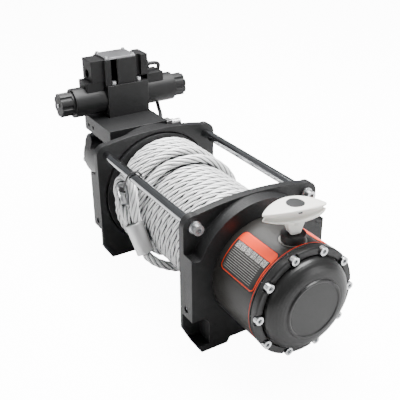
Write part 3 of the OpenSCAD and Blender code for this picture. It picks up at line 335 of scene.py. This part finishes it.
# Rope on the drum: 13 mm galvanised wire rope, six strands in a right-hand lay. Fifteen turns
# lie side by side over the lower layers, and the rope climbs back on them for three and a half more.
axis_z = 96
rope_r = 0.00635
rope_lay = 0.083
strands = 6
strand_share = 0.37


def mesh_object(name, points, faces, marks=None):
    """A closed piece from its points and faces, with a place on its own UV map for each point."""
    mesh = bpy.data.meshes.new(name)
    mesh.from_pydata(points, [], faces)
    if marks:
        layer = mesh.uv_layers.new(name="UVMap")
        for loop in mesh.loops:
            layer.data[loop.index].uv = marks[loop.vertex_index]
    mesh.polygons.foreach_set("use_smooth", [len(f) < 5 for f in faces])
    piece = bpy.data.objects.new(name, mesh)
    bpy.context.scene.collection.objects.link(piece)
    return piece


def twisted(name, line, sides):
    """A wire rope: six round strands laid right-handed round a line of close points."""
    strand_r = rope_r * strand_share
    spread = rope_r - strand_r
    normal = (line[1] - line[0]).orthogonal().normalized()
    points, faces, marks = [], [], []
    centres = []
    run = 0.0
    for i, here in enumerate(line):
        ahead = (line[min(i + 1, len(line) - 1)] - line[max(i - 1, 0)]).normalized()
        normal = (normal - ahead * normal.dot(ahead)).normalized()
        side = ahead.cross(normal)
        if i:
            run += (here - line[i - 1]).length
        centres.append((here, normal.copy(), side, run))
    for strand in range(strands):
        first = len(points)
        for here, out, side, run in centres:
            turn = 2 * math.pi * (strand / strands + run / rope_lay)
            middle = here + out * (spread * math.cos(turn)) + side * (spread * math.sin(turn))
            for k in range(sides):
                around = turn + 2 * math.pi * k / sides
                points.append(
                    middle + out * (strand_r * math.cos(around)) + side * (strand_r * math.sin(around))
                )
                marks.append((run / rope_lay, k / sides))
        for i in range(len(centres) - 1):
            for k in range(sides):
                a = first + i * sides + k
                b = first + i * sides + (k + 1) % sides
                faces.append((a, b, b + sides, a + sides))
        last = first + (len(centres) - 1) * sides
        faces.append(tuple(first + k for k in reversed(range(sides))))
        faces.append(tuple(last + k for k in range(sides)))
    return mesh_object(name, points, faces, marks)


def galvanised(name, shade):
    """Zinc-coated rope wires: bright on the crowns of the strands, with painted shade darkening the creases
    between them.
    """
    made, surface, here = bare(name, Metallic=0.35)
    map_place = here.node("UVMap")
    run = map_place.node("SeparateXYZ", {0: map_place})
    round_way = map_place.node("SeparateXYZ", {0: map_place}, out=1)
    wires = abs((round_way * 12 + run * 3).math("FRACT") - 0.5) * 2
    cloud = here.node("TexNoise", {"Vector": here, "Scale": 120.0, "Detail": 4.0})
    # Painted shade: occluded creases between the strands are darkened towards black.
    painted_crease_shade = (1 - here.node("AmbientOcclusion", {"Distance": 0.0045}, out="AO", samples=6)).held()
    base = cloud.tint(tuple(0.84 * c for c in shade), shade)
    clean = wires.tint(tuple(0.86 * c for c in shade), base)
    (painted_crease_shade * 2.0).held().tint(clean, (0.03, 0.03, 0.03)).into(surface, "Base Color")
    (0.34 + cloud * 0.2).into(surface, "Roughness")
    here.node("Bump", {"Strength": 0.5, "Distance": 0.0003, "Height": 1 - wires}).into(surface, "Normal")
    return made


turn_pitch = 13.4
turns = 15
winding_r = 64
winding_step = 4
second_r = 76.2
second_end = 1245
climb_end = 120
level_end = 60
dive_steps = 9
dive_span = 36


def on_drum(x, angle, r):
    """A place on the drum, from its height over the axis and its turn in degrees."""
    return Vector((x, r * math.cos(math.radians(angle)), axis_z + r * math.sin(math.radians(angle))))


def wandering(degrees):
    """The small unevenness of turns that were wound by hand."""
    return 0.16 * math.sin(degrees / 360 * 2.6) + 0.1 * math.sin(degrees / 360 * 5.3 + 1)


winding_line = []
for i in range(turns * 360 // winding_step, -1, -1):
    wound = i * winding_step
    x = turn_pitch * (wound / 360 - turns / 2) + wandering(wound)
    winding_line.append(on_drum(x, wound + 180, winding_r) * mm)
for i in range(1, second_end // winding_step + dive_steps):
    wound = i * winding_step
    climb = math.sin(math.radians(90 * min(1, wound / climb_end)))
    dive = max(0, (wound - second_end + winding_step) / dive_span)
    r = winding_r + (second_r - winding_r) * (climb - min(1, dive * dive))
    x = turn_pitch * (max(0, wound - level_end) / 360 - turns / 2) + wandering(wound)
    winding_line.append(on_drum(x, 180 - wound, r) * mm)
rope_wire = galvanised("rope_wire", (1.0, 1.0, 1.0))
winding = twisted("rope_turns", winding_line, sides=6)
fitted(winding, "drum_group", "wire_rope", rope_wire, "rope_winding")


# Lower layers of the rope: one closed form with a ridge for each turn.
# They are seen only between the outer turns, where their dark colour is painted shade.
def turned(name, profile, steps):
    """A piece turned round the drum's axis: places along it and radii, spun all round."""
    middle = Vector((0, 0, axis_z))
    along = Vector((1, 0, 0))
    side = along.orthogonal().normalized()
    mesh = bpy.data.meshes.new(name)
    points = [(middle + along * at + side * r) * mm for at, r in profile]
    mesh.from_pydata(points, [(i, i + 1) for i in range(len(points) - 1)], [])
    piece = bpy.data.objects.new(name, mesh)
    bpy.context.scene.collection.objects.link(piece)
    bpy.ops.object.select_all(action="DESELECT")
    piece.select_set(True)
    bpy.context.view_layer.objects.active = piece
    bpy.ops.object.mode_set(mode="EDIT")
    bpy.ops.mesh.select_all(action="SELECT")
    bpy.ops.mesh.spin(steps=steps, angle=2 * math.pi, center=middle * mm, axis=along)
    bpy.ops.mesh.select_all(action="SELECT")
    bpy.ops.mesh.remove_doubles(threshold=weld_gap)
    bpy.ops.mesh.normals_make_consistent(inside=False)
    bpy.ops.object.mode_set(mode="OBJECT")
    bpy.ops.object.shade_smooth_by_angle(angle=math.radians(35))
    return piece


weld_gap = 0.00001
core_half = 109.5
core_low = 36
core_high = 57.4
ridges = 16
ridge_deep = 4.5
ridge_steps = 8
core_profile = [(-core_half, core_low)]
for i in range(ridges * ridge_steps + 1):
    share = i / ridge_steps
    core_profile.append((
        -core_half + 2 * core_half * share / ridges,
        core_high - ridge_deep * (1 - abs(math.sin(math.pi * share))),
    ))
core_profile += [(core_half, core_low), (-core_half, core_low)]
core_steps = 72
rope_layers = turned("rope_layers", core_profile, core_steps)
# Painted shade: the same rope, coloured dark for the shade that falls between the outer turns.
shaded_wire, shaded_wire_surface, here = bare("rope_wire_inside_shaded", Metallic=0.4)
skew = here.node("Mapping", {"Vector": here, "Rotation": (0.3, 0.2, 0.5), "Scale": (260.0, 60.0, 60.0)})
wires = here.node("TexNoise", {"Vector": skew, "Scale": 1.0, "Detail": 2.0})
wires.tint((0.12, 0.12, 0.12), (0.3, 0.3, 0.3)).into(shaded_wire_surface, "Base Color")
(0.5 + wires * 0.2).into(shaded_wire_surface, "Roughness")
here.node("Bump", {"Strength": 0.6, "Distance": 0.0006, "Height": wires}).into(shaded_wire_surface, "Normal")
fitted(rope_layers, "drum_group", "wire_rope", shaded_wire, "rope_core")


# Crossing turn: the rope's last turn, which climbs behind the rear bar, crosses over the top
# and goes down again in front.
crossing_turn = [
    # place along the drum, angle round it, radius
    (-49.6, 314, 63.5), (-49.2, 300, 66), (-48.6, 284, 71), (-47.6, 264, 74.4), (-46.5, 240, 74.4),
    (-45.4, 222, 71), (-44.6, 208, 68.6), (-43.4, 190, 68.4), (-41.6, 172, 68.6), (-39.6, 158, 70.4),
    (-37.6, 146, 73.8), (-36, 134, 75), (-36, 122, 75.2), (-35, 111, 75.2), (-31, 99, 75.2),
    (-28.4, 86, 75.2), (-27.4, 73, 75.2), (-25.4, 56, 75), (-22, 36, 74.6), (-19, 14, 73), (-17.4, -4, 69),
    (-16.6, -20, 63.5),
]
crossing_line = smoothed([on_drum(*place) for place in crossing_turn], 8)
crossing = twisted("rope_crossing_turn", crossing_line, sides=8)
fitted(crossing, "base", "wire_rope", rope_wire)


# Free end of the rope: it leaves the drum below, runs through a pressed aluminium sleeve and
# bends back in a stowed eye round a galvanised thimble, which a cable tie holds to the front bar.
tail_route = [
    [-7.8, -77.4, 61.5], [-5.8, -76.6, 57.5], [-4, -71, 50.8], [-3, -63.4, 43.7], [-2.6, -52.6, 36.5],
    [-3, -38.9, 28.7], [-4.6, -20.1, 21.1], [-7.2, 2.7, 18.5], [-10, 26.5, 23.2],
]
eye_route = [
    [-32.1, -87.5, 97.5], [-34.5, -88.5, 101.3], [-39.4, -88.8, 105.2], [-47.4, -88.6, 110.5],
    [-56.3, -87.8, 117.3], [-65.3, -86.2, 123.6], [-72.6, -84.3, 129], [-76.5, -82, 134.4],
    [-77.1, -79, 140.1], [-74.3, -76.1, 144.9], [-68.7, -74, 148.1], [-61.2, -73.3, 148.9],
    [-52.2, -74.2, 147], [-43.7, -76.1, 143], [-36.8, -78.3, 137], [-31.8, -80.4, 129.4],
    [-28.6, -81.8, 121.1], [-26.2, -82.1, 114.2], [-23.9, -82.2, 107.8], [-22.2, -81.7, 103.5],
]
tail_line = smoothed(tail_route, 5)
tail = twisted("rope_free_end", tail_line, sides=9)
fitted(tail, "base", "wire_rope", rope_wire, "rope_tail")
eye_line = smoothed(eye_route, 5)
eye = twisted("rope_eye_loop", eye_line, sides=9)
fitted(eye, "base", "wire_rope", rope_wire, "rope_eye")
sleeve_alloy = plated("sleeve_alloy", (0.66, 0.66, 0.66), 0.38, edge=0.0025)
dress(sleeve_alloy, "ferrule")
dress(zinc, "thimble", "rope_anchor_screw")
tie_nylon, tie_surface, here = bare("tie_nylon", Specular_IOR_Level=0.5)
ribs = here.node("TexNoise", {"Vector": here, "Scale": 500.0})
ribs.tint((0.012, 0.012, 0.012), (0.025, 0.025, 0.026)).into(tie_surface, "Base Color")
(0.35 + ribs * 0.2).into(tie_surface, "Roughness")
round_edges(here, 0.0005).into(tie_surface, "Normal")
dress(tie_nylon, "cable_tie")
bpy.ops.object.select_all(action="DESELECT")
bpy.ops.mesh.primitive_cube_add(size=1)
tie_head = bpy.context.object
tie_head.name = "tie_head"
tie_head_size = (5.2, 4.4, 6.4)
tie_head_place = Vector((-50.4, -90.6, 141.8))
tie_head_tilt = math.radians(-20)
tie_head_round = 0.8
for point in tie_head.data.vertices:
    spot = Vector([side * share for side, share in zip(tie_head_size, point.co)])
    spot.rotate(Matrix.Rotation(tie_head_tilt, 3, "X"))
    point.co = (tie_head_place + spot) * mm
tie_corners = tie_head.modifiers.new("corners", "BEVEL")
tie_corners.width = tie_head_round * mm
tie_corners.segments = 3
bpy.ops.object.modifier_apply(modifier="corners")
fitted(tie_head, "base", "black_nylon", tie_nylon)


# Gearbox housing: an aluminium casting, bored for the gears, with smooth satin graphite paint.
# The cap is the same, bolted on with ten plated socket screws over a thin gasket.
gearbox_paint = painted("gearbox_paint", (0.021, 0.0198, 0.018), 0.3, 900.0, 0.00025, 0.0012)
dress(gearbox_paint, "gearbox_housing")
cap_paint = painted("cap_paint", (0.013, 0.013, 0.0129), 0.22, 900.0, 0.00015, 0.0012)
dress(cap_paint, "end_cap")
dress(rubber, "cap_gasket")
dress(zinc, "cap_screws")


# Gears, shaft, rotors and spool: hobbed and ground steel with an oil film.
# They are closed in behind the cap and the drum, in the motor and in the valve.
gear_steel = plated("gear_steel", (0.5, 0.5, 0.49), 0.25, lines=0.3)
dress(
    gear_steel, "ring_gear", "planet_carrier", "planet_gear_1", "planet_gear_2", "planet_gear_3",
    "sun_gear", "drive_shaft", "inner_rotor", "outer_rotor", "valve_spool",
)
dress(bronze, "shaft_bush")


# Panels: thin films on the housing, one each side of the clutch, with a bright red-orange
# border and heading band, and a row of squares and plain bars below. They carry nothing to read.
panel_r = 67.02
panel_thick = 0.12
panel_start, panel_end = 148, 212
panel_columns, panel_rows = 8, 24


def film(name, low, high):
    """A thin film laid round the housing between two angles: a flat grid bent to it, with a back."""
    bpy.ops.object.select_all(action="DESELECT")
    bpy.ops.mesh.primitive_grid_add(x_subdivisions=panel_columns, y_subdivisions=panel_rows, size=1)
    piece = bpy.context.object
    piece.name = name
    for point in piece.data.vertices:
        x = panel_start + (panel_end - panel_start) * (point.co.x + 0.5)
        point.co = on_drum(x, low + (high - low) * (point.co.y + 0.5), panel_r) * mm
    bpy.ops.object.mode_set(mode="EDIT")
    bpy.ops.mesh.select_all(action="SELECT")
    bpy.ops.mesh.normals_make_consistent(inside=False)
    bpy.ops.object.mode_set(mode="OBJECT")
    back = piece.modifiers.new("back", "SOLIDIFY")
    back.thickness = panel_thick * mm
    back.offset = 1
    bpy.ops.object.modifier_apply(modifier="back")
    piece.data.polygons.foreach_set("use_smooth", [True] * len(piece.data.polygons))
    return piece


def rounded_box(u, v, half_u, half_v, corner):
    """How far a place lies outside a box with round corners, from its middle, in millimetres."""
    over_u = (abs(u) - (half_u - corner)).math("MAXIMUM", 0.0)
    over_v = (abs(v) - (half_v - corner)).math("MAXIMUM", 0.0)
    return (over_u * over_u + over_v * over_v).math("SQRT") - corner


panel_long, panel_high = 64.0, 53.0
panel_corner = 6.5
edge_gap = 0.6
border_wide = 1.3
heading_high = 13.5
row_half = 28.0
cell_pitch, cell_half = 9.4, 4.2
row_place, row_high = 8.2, 4.0
line_pitch, line_high = 2.6, 0.8
line_first, line_last = -2.5, 5.0
line_half, line_shift = 25.0, 2.0
panel_red = (0.72, 0.05, 0.014)
print_ink, print_surface, here = bare("panel_print", Specular_IOR_Level=0.12)
sheet_place = here.node("UVMap")
u = (here.node("SeparateXYZ", {0: sheet_place}) - 0.5) * panel_long
v = (here.node("SeparateXYZ", {0: sheet_place}, out=1) - 0.5) * panel_high
inside = rounded_box(u, v, panel_long / 2 - edge_gap, panel_high / 2 - edge_gap, panel_corner)
border = (inside < 0.0) * (inside > -border_wide)
heading = (inside < -0.5) * (v < -panel_high / 2 + heading_high)
cell = (u + row_half).math("MODULO", cell_pitch)
in_row = (abs(v + row_place) < row_high) * (abs(u) < row_half)
frames_row = in_row * (abs(cell - cell_pitch / 2) < cell_half)
specks = here.node(
    "TexVoronoi", {"Vector": sheet_place, "Scale": 34.0}, voronoi_dimensions="2D", distance="CHEBYCHEV"
)
squares = frames_row * (0.25 + 0.75 * (specks < 0.28))
line_row = (v + line_pitch).math("MODULO", line_pitch)
stretched = here.node("Mapping", {"Vector": sheet_place, "Scale": (60.0, 20.0, 1.0)})
breaks = here.node("TexNoise", {"Vector": stretched, "Scale": 1.0}) > 0.42
in_lines = (v > line_first) * (v < panel_high / 2 - line_last) * (abs(u + line_shift) < line_half)
bars = (line_row < line_high) * in_lines * breaks
film_dark = (0.028, 0.027, 0.026)
ink = (squares.held() * 0.7).tint(film_dark, (0.6, 0.58, 0.56))
ink = (bars * 0.34).tint(ink, (0.5, 0.5, 0.48))
ink = (border + heading).held().tint(ink, panel_red)
ink.into(print_surface, "Base Color")
speck = here.node("TexNoise", {"Vector": here, "Scale": 700.0, "Detail": 3.0})
(0.34 + speck * 0.1).into(print_surface, "Roughness")
here.node("Bump", {"Strength": 0.2, "Distance": 0.0001, "Height": speck}).into(print_surface, "Normal")
for panel in (("panel_front", 113.5, 158.5), ("panel_rear", 66.5, 21.5)):
    fitted(film(*panel), "base", "gearbox_paint", print_ink)


# Pinstripe: one turn of narrow red-orange tape round the housing, just behind the cap.
# It is a little darker than the panels.
stripe_ink, stripe_surface, here = bare("stripe_print", Specular_IOR_Level=0.2)
fade = here.node("TexNoise", {"Vector": here, "Scale": 80.0, "Detail": 3.0})
fade.tint((0.42, 0.022, 0.007), (0.6, 0.035, 0.01)).into(stripe_surface, "Base Color")
(0.35 + fade * 0.15).into(stripe_surface, "Roughness")
stripe_start, stripe_end = 212.6, 213.5
stripe_in, stripe_out = 66.9, 67.12
stripe_steps = 128
stripe = turned("housing_stripe", [
    (stripe_start, stripe_in), (stripe_start, stripe_out), (stripe_end, stripe_out),
    (stripe_end, stripe_in), (stripe_start, stripe_in),
], stripe_steps)
fitted(stripe, "base", "gearbox_paint", stripe_ink)


# Clutch: a plated ring let into the housing's flat, a black boss screwed into it, a steel plunger
# with its spring, and an ivory moulded grip that lifts the plunger out of the ring gear.
black_steel = painted("boss_black", (0.012, 0.012, 0.012), 0.3, 600.0, 0.0002, 0.0006)
dress(plated("ring_nickel", (0.62, 0.61, 0.58), 0.3, lines=0.4, edge=0.0006), "clutch_ring")
dress(black_steel, "clutch_boss")
dress(zinc, "clutch_spring", "clutch_plunger")

clutch_x = 198
grip_turn = math.radians(80)
grip_bottom = 182.7
grip_top = 24.8
grip_half = 39.0
tip_drop = 7.0
groove_low, groove_high = 11.5, 22.0
grip_levels = [
    # height over the underside, half length, half width
    (0.0, 8.2, 6.6), (3.5, 9.6, 7.6), (5.6, 15.0, 9.5), (7.2, 27.0, 12.5), (8.4, 35.5, 15.4),
    (9.4, 38.2, 16.6), (10.4, 38.6, 16.9), (11.2, 38.2, 16.2), (12.2, 36.6, 13.4), (13.6, 35.4, 11.2),
    (16.0, 35.0, 10.4), (18.5, 35.4, 11.0), (20.4, 36.6, 13.2), (21.7, 38.2, 15.8), (22.7, 38.9, 16.7),
    (23.5, 39.0, 16.8), (24.2, 38.7, 16.5), (24.6, 37.8, 15.8), (grip_top, 30.0, 12.0),
    (grip_top, 15.0, 6.0), (grip_top, 4.0, 1.6),
]
grip_around = 64


def on_grip(along, across, up):
    """A place on the grip: its upper part bows down towards both tips."""
    high = min(1, max(0, (up - groove_low) / (groove_high - groove_low)))
    bow = tip_drop * high * (along / grip_half) ** 2
    spot = Vector((along, across, 0))
    spot.rotate(Matrix.Rotation(grip_turn, 3, "Z"))
    return (spot + Vector((clutch_x, 0, grip_bottom + up - bow))) * mm


def ringed(levels, around):
    """The faces of a closed form that is given as rings of points, one over the other."""
    faces = []
    for level in range(levels - 1):
        for k in range(around):
            a = level * around + k
            b = level * around + (k + 1) % around
            faces.append((a, b, b + around, a + around))
    faces.append(tuple(reversed(range(around))))
    faces.append(tuple((levels - 1) * around + k for k in range(around)))
    return faces


grip_points = []
for up, half_long, half_wide in grip_levels:
    for k in range(grip_around):
        angle = 2 * math.pi * k / grip_around
        wide = math.sin(angle) * abs(math.sin(angle)) ** 0.6
        grip_points.append(on_grip(half_long * math.cos(angle), half_wide * wide, up))
grip = mesh_object("clutch_grip", grip_points, ringed(len(grip_levels), grip_around))

ivory, ivory_surface, here = bare("ivory_moulding", Specular_IOR_Level=0.45, Subsurface_Weight=0.04)
mould = here.node("TexNoise", {"Vector": here, "Scale": 700.0, "Detail": 3.0})
soil = here.node("TexNoise", {"Vector": here, "Scale": 30.0, "Detail": 4.0})
soil.tint((0.74, 0.72, 0.66), (0.86, 0.85, 0.8)).into(ivory_surface, "Base Color")
(0.3 + soil * 0.16).into(ivory_surface, "Roughness")
here.node(
    "Bump", {"Strength": 0.2, "Distance": 0.0001, "Height": mould, "Normal": round_edges(here, 0.0008)}
).into(ivory_surface, "Normal")
bpy.ops.object.select_all(action="DESELECT")
bpy.ops.mesh.primitive_cube_add(size=1)
stem = bpy.context.object
stem.name = "clutch_stem"
stem_low, stem_high = 171.5, 187.5
stem_half = 6.4
stem_flare, stem_taper = 1.7, 0.9
for point in stem.data.vertices:
    reach = stem_flare if point.co.z > 0 else stem_taper
    spot = Vector((2 * stem_half * reach * point.co.x, 2 * stem_half * point.co.y, 0))
    spot.rotate(Matrix.Rotation(grip_turn, 3, "Z"))
    point.co = (spot + Vector((clutch_x, 0, stem_high if point.co.z > 0 else stem_low))) * mm
corners = stem.modifiers.new("corners", "BEVEL")
corners.width = 1.4 * mm
corners.segments = 3
bpy.ops.object.modifier_apply(modifier="corners")
bpy.ops.object.shade_smooth_by_angle(angle=math.radians(40))
fitted(grip, "handle", "ivory_plastic", ivory, "clutch_handle")
fitted(stem, "handle", "ivory_plastic", ivory)


# Grip label and slot: a bare round dark film on top of the grip, which follows its bow,
# and a small dark block under its near rim, whose dark colour is painted shade for a slot.
label_dark_and_slot_shade, label_surface, here = bare("label_film_and_slot_shade", Specular_IOR_Level=0.3)
dust = here.node("TexNoise", {"Vector": here, "Scale": 400.0, "Detail": 3.0})
dust.tint((0.014, 0.0145, 0.015), (0.02, 0.0205, 0.021)).into(label_surface, "Base Color")
(0.45 + dust * 0.15).into(label_surface, "Roughness")
label_rings = [(0.1, -0.5), (10.2, -0.5), (10.2, 0.12), (9.9, 0.22), (6.6, 0.22), (3.3, 0.22), (0.1, 0.22)]
label_around = 48
label_points = []
for r, up in label_rings:
    for k in range(label_around):
        angle = 2 * math.pi * k / label_around
        label_points.append(on_grip(r * math.cos(angle), r * math.sin(angle), grip_top + up))
label = mesh_object("grip_label", label_points, ringed(len(label_rings), label_around))
# The slot is a dark block: painted shade standing in for its hollow. It shares the label's dark film.
bpy.ops.object.select_all(action="DESELECT")
bpy.ops.mesh.primitive_cube_add(size=1)
slot = bpy.context.object
slot.name = "grip_slot"
slot_size = (4.2, 3.4, 1.9)
slot_place = (-1.5, -13.4, 20.3)
for point in slot.data.vertices:
    point.co = on_grip(*(at + side * share for at, side, share in zip(slot_place, slot_size, point.co)))
fitted(slot, "handle", "black_plastic", label_dark_and_slot_shade)
fitted(label, "handle", "black_plastic", label_dark_and_slot_shade)


# Hydraulic motor: cast iron sections bolted end to end, smooth dark grey paint over all,
# with two plugged hose fittings on the rear cover's sides.
motor_paint = painted("motor_paint", (0.008, 0.0082, 0.0084), 0.27, 700.0, 0.00025, 0.001)
dress(motor_paint, "motor_adapter", "motor_housing", "rotor_ring", "motor_end_cover")
dress(zinc, "motor_bolts", "port_fittings")
cap_plastic = painted("cap_plastic", (0.02, 0.02, 0.021), 0.38, 900.0, 0.0002, 0.0006, edge_wear_and_highlight=0.2)
dress(cap_plastic, "port_caps")


# Valve bracket: folded steel sheet with the frames' paint, screwed to the motor end frame.
# It carries the valve over the motor.
dress(frame_paint, "valve_bracket")
dress(zinc, "bracket_screws")


# Valve: a cast body with a black phosphate finish between two black moulded coils, each held
# by a fluted nut, on a black anodised block.
valve_iron = painted("valve_iron", (0.0095, 0.0095, 0.0098), 0.36, 500.0, 0.0006, 0.0008)
coil_plastic = painted("coil_plastic", (0.004, 0.004, 0.0042), 0.42, 1100.0, 0.00025, 0.0009, edge_wear_and_highlight=0.25)
block_black = painted("block_anodised", (0.009, 0.009, 0.0095), 0.3, 1200.0, 0.0001, 0.0007)
dress(block_black, "manifold_block")
dress(valve_iron, "valve_body")
dress(coil_plastic, "valve_coils", "coil_nuts", "coil_connectors")
dress(zinc, "valve_screws", "override_pin_left", "override_pin_right")


# Junction box: a black moulding on the valve, closed by a pressed steel lid and four small
# screws. The valve lead leaves it through a gland and ends in a nickel-plated socket.
dress(coil_plastic, "junction_box")
lid_steel = plated("lid_steel", (0.33, 0.33, 0.34), 0.3, edge=0.0006)
dress(lid_steel, "box_lid")
dress(zinc, "box_screws")
dress(cap_plastic, "lead_gland")
dress(plated("socket_nickel", (0.5, 0.5, 0.5), 0.28, edge=0.0007), "lead_socket")
